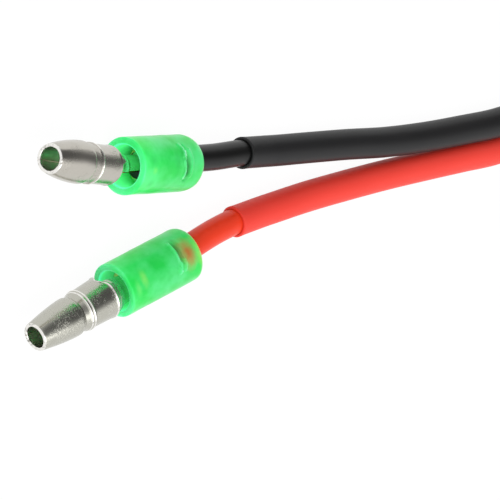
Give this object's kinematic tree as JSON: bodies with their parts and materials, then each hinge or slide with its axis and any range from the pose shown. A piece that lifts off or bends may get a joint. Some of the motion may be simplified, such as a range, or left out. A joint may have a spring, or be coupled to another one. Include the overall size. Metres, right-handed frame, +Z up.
{
  "type": "charging port lead with bullet terminals",
  "caption": "Panel charging socket on a black and a red lead in shrunk tube, ending in plated bullet terminals under soft green sleeves.",
  "frame": {"origin": "on the surface under the middle of the hex nut", "axes": "+X along the leads towards the bullet terminals, -Y out of the charging socket's mouth, +Z up from the surface"},
  "size_m": [0.0985, 0.067, 0.014],
  "materials": {
    "tin_plate": "bright tin plate",
    "green_pvc": "soft, milky and slightly clear",
    "copper": "bare strands",
    "black_pvc": "smooth jacket",
    "black_tube": "satin",
    "red_pvc": "smooth jacket",
    "red_tube": "satin",
    "solder": "smooth solder",
    "nickel_plate": "nickel plate",
    "gasket_rubber": "matte",
    "moulded_plastic": "moulded",
    "brass_strip": "stamped strip"
  },
  "bodies": {
    "root": {"black_bullet_terminal": "tin_plate", "black_terminal_sleeve": "green_pvc", "black_crimped_strands": "copper", "black_wire": "black_pvc", "black_heat_shrink": "black_tube", "black_tail_strands": "copper", "black_solder_joint": "solder", "red_bullet_terminal": "tin_plate", "red_terminal_sleeve": "green_pvc", "red_crimped_strands": "copper", "red_wire": "red_pvc", "red_heat_shrink": "red_tube", "red_tail_strands": "copper", "red_solder_joint": "solder", "socket_bush": "nickel_plate", "panel_gasket": "gasket_rubber", "lock_washer": "nickel_plate", "hex_nut": "nickel_plate", "socket_liner": "moulded_plastic", "centre_pin": "nickel_plate", "centre_tag": "brass_strip", "outer_contact": "brass_strip", "rear_base": "moulded_plastic"}
  },
  "joints": []
}
